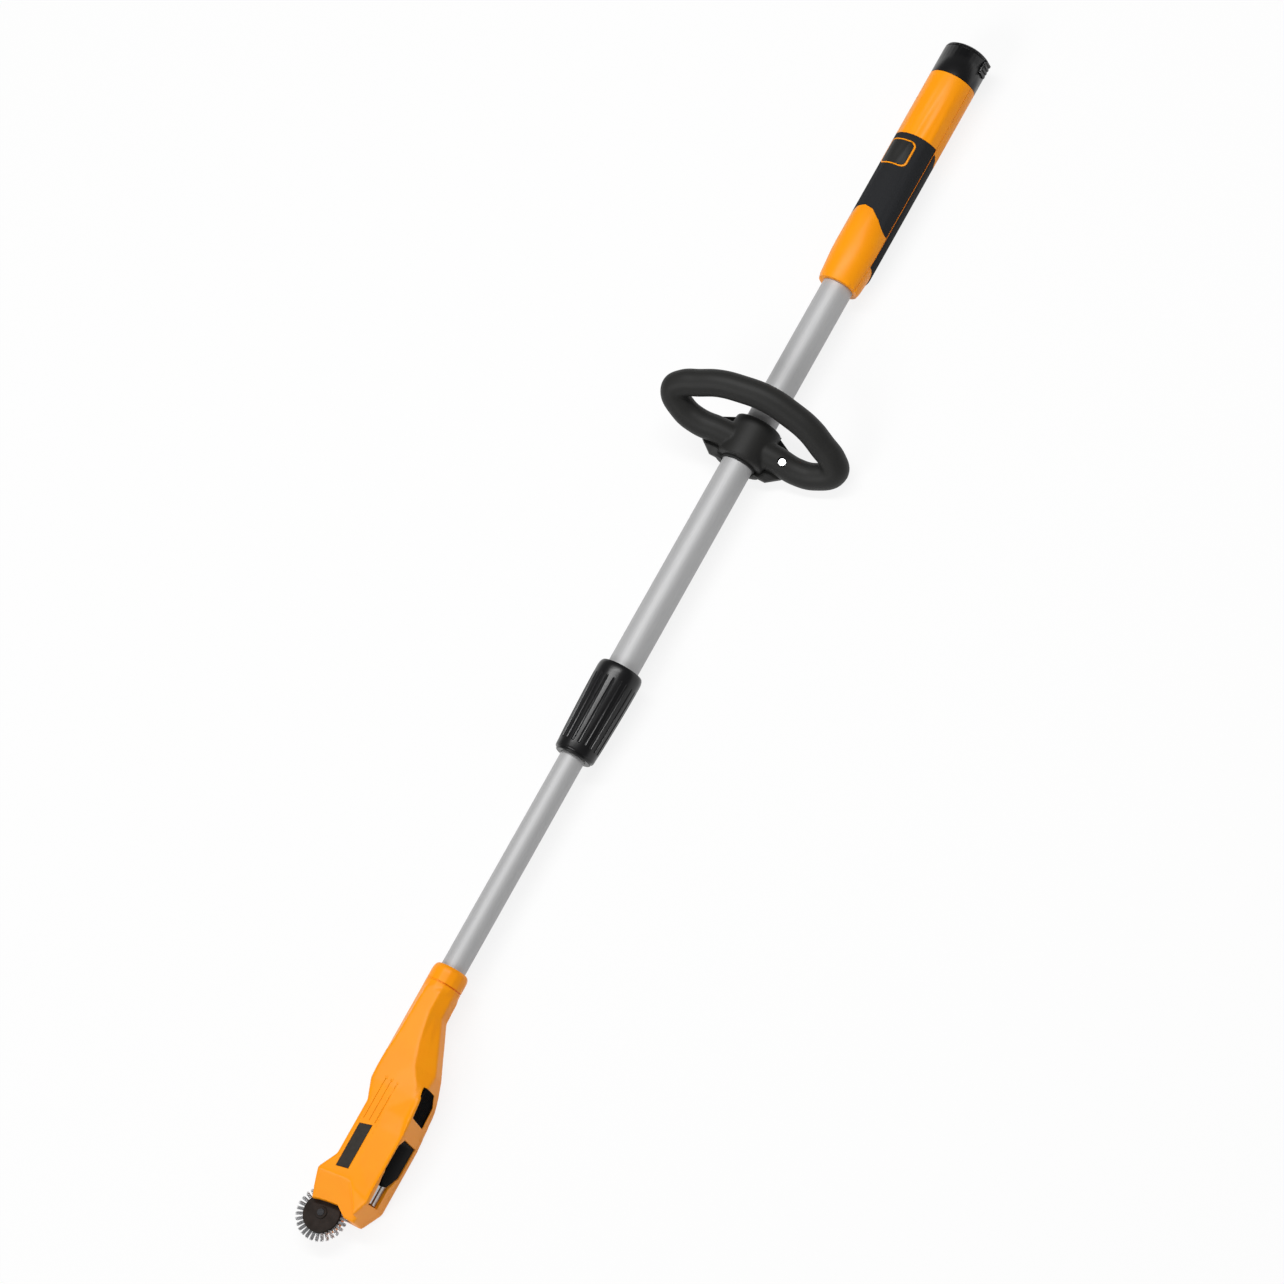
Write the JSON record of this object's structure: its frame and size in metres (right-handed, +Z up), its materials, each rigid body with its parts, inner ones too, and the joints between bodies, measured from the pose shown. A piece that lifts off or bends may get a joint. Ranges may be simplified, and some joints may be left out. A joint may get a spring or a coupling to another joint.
{
  "type": "cordless weed brush",
  "caption": "Long telescopic pole tool with a small powered wire brush wheel in an angled head, an adjustable loop handle, and a straight grip with a push button and a pull-out battery.",
  "frame": {"origin": "centre of the bounding box at the floor, the tool lying label side up with the underside of its loop handle on the floor", "axes": "+X along the pole from the brush to the battery, +Z up, towards the loop handle's side, +Y to the side away from the cooling vent"},
  "size_m": [1.18, 0.1732, 0.0863],
  "materials": {
    "orange_plastic": "moulded, half gloss",
    "soft_grip": "soft matte",
    "gloss_black": "smooth gloss",
    "matte_black": "fine grain",
    "liner_rubber": "matte",
    "satin_aluminium": "satin, drawn along the tube",
    "bright_steel": "bright",
    "dark_steel": "blackened",
    "steel_wire": "crimped wire",
    "smoked_plastic": "smoked, gloss",
    "gear_nylon": "natural nylon",
    "label_film": "bare, satin",
    "cell_sleeve": "shrink sleeve"
  },
  "bodies": {
    "upper_pole": {"upper_tube": "satin_aluminium", "collet": "gear_nylon", "clamp_ring": "gear_nylon", "grip_shell_top": "orange_plastic", "grip_shell_under": "orange_plastic", "grip_pad_top": "soft_grip", "grip_pad_under": "soft_grip", "button_surround": "orange_plastic", "power_switch": "matte_black", "terminal_block": "matte_black", "cable_coil": "liner_rubber", "grip_screw_1": "dark_steel", "grip_screw_2": "dark_steel"},
    "collar": {"twist_collar": "gloss_black"},
    "pole_guide": {"guide_bush": "matte_black"},
    "lower_pole": {"lower_tube": "satin_aluminium", "cable": "liner_rubber", "head_body": "orange_plastic", "head_cover": "orange_plastic", "vent_grille": "matte_black", "label_plate": "label_film", "motor_can": "bright_steel", "motor_end_bell": "matte_black", "socket_screw": "dark_steel", "head_screw_1": "dark_steel", "head_screw_2": "dark_steel", "head_screw_3": "dark_steel", "head_screw_4": "dark_steel", "spindle_bearing": "bright_steel", "lay_pin": "bright_steel", "idler_pin": "bright_steel"},
    "brush": {"spindle": "bright_steel", "brush_hub": "smoked_plastic", "brush_hub_plate": "smoked_plastic", "brush_tufts": "steel_wire", "brush_nut": "dark_steel"},
    "idler": {"idler_gear": "gear_nylon"},
    "lay_shaft": {"lay_gear": "gear_nylon"},
    "rotor": {"motor_shaft": "bright_steel"},
    "loop_carrier": {"loop_liner": "liner_rubber"},
    "loop": {"loop_handle": "matte_black", "loop_clamp": "matte_black", "loop_bolt_left": "bright_steel", "loop_bolt_right": "bright_steel", "loop_nut_left": "bright_steel", "loop_nut_right": "bright_steel"},
    "button": {"power_button": "gloss_black"},
    "battery": {"battery_cap": "gloss_black", "battery_case": "matte_black", "battery_cell_1": "cell_sleeve", "battery_cell_2": "cell_sleeve"},
    "latch_right": {"latch_tab_right": "gloss_black"},
    "latch_left": {"latch_tab_left": "gloss_black"},
    "key": {"key_grip": "gloss_black", "key_fork": "bright_steel"}
  },
  "joints": [
    {"name": "collar_twist", "type": "hinge", "parent": "upper_pole", "child": "collar", "pos_m": [-0.13299, 0.00539, 0.02491], "axis": [1, 0, 0], "range_deg": [0, 90]},
    {"name": "pole_slide", "type": "slide", "parent": "upper_pole", "child": "pole_guide", "axis": [1, 0, 0], "range_m": [-0.1, 0.2]},
    {"name": "pole_turn", "type": "hinge", "parent": "pole_guide", "child": "lower_pole", "pos_m": [-0.33899, 0.00539, 0.02491], "axis": [1, 0, 0], "range_deg": [-90, 90]},
    {"name": "loop_slide", "type": "slide", "parent": "upper_pole", "child": "loop_carrier", "axis": [1, 0, 0], "range_m": [-0.08, 0.08]},
    {"name": "loop_turn", "type": "hinge", "parent": "loop_carrier", "child": "loop", "pos_m": [0.17401, 0.00539, 0.02491], "axis": [1, 0, 0], "range_deg": [-90, 90]},
    {"name": "brush_spin", "type": "hinge", "parent": "lower_pole", "child": "brush", "pos_m": [-0.56599, 0.00219, 0.01831], "axis": [0, 0, 1], "continuous": true},
    {"name": "idler_spin", "type": "hinge", "parent": "lower_pole", "child": "idler", "pos_m": [-0.54564, -0.00298, 0.00591], "axis": [0, 0, 1], "continuous": true},
    {"name": "lay_spin", "type": "hinge", "parent": "lower_pole", "child": "lay_shaft", "pos_m": [-0.53149, -0.01411, 0.00591], "axis": [0, 0, 1], "continuous": true},
    {"name": "motor_spin", "type": "hinge", "parent": "lower_pole", "child": "rotor", "pos_m": [-0.51959, -0.01411, 0.02491], "axis": [1, 0, 0], "continuous": true},
    {"name": "power_press", "type": "slide", "parent": "upper_pole", "child": "button", "axis": [0, -0.2924, -0.9563], "range_m": [0, 0.0015], "stiffness_N_per_m": 700, "springref_m": -0.0003},
    {"name": "battery_pull", "type": "slide", "parent": "upper_pole", "child": "battery", "axis": [1, 0, 0], "range_m": [0, 0.1]},
    {"name": "latch_press_right", "type": "slide", "parent": "battery", "child": "latch_right", "axis": [0, 0.9925, -0.1219], "range_m": [0, 0.0012], "stiffness_N_per_m": 500, "springref_m": -0.0003},
    {"name": "latch_press_left", "type": "slide", "parent": "battery", "child": "latch_left", "axis": [0, -0.891, 0.454], "range_m": [0, 0.0012], "stiffness_N_per_m": 500, "springref_m": -0.0003},
    {"name": "key_pull", "type": "slide", "parent": "lower_pole", "child": "key", "axis": [0, -1, 0], "range_m": [0, 0.03]}
  ],
  "couplings": [
    {"joint": "idler_spin", "follows": "brush_spin", "ratio": -0.90909},
    {"joint": "lay_spin", "follows": "brush_spin", "ratio": 1.4286},
    {"joint": "motor_spin", "follows": "brush_spin", "ratio": 4.2857}
  ]
}
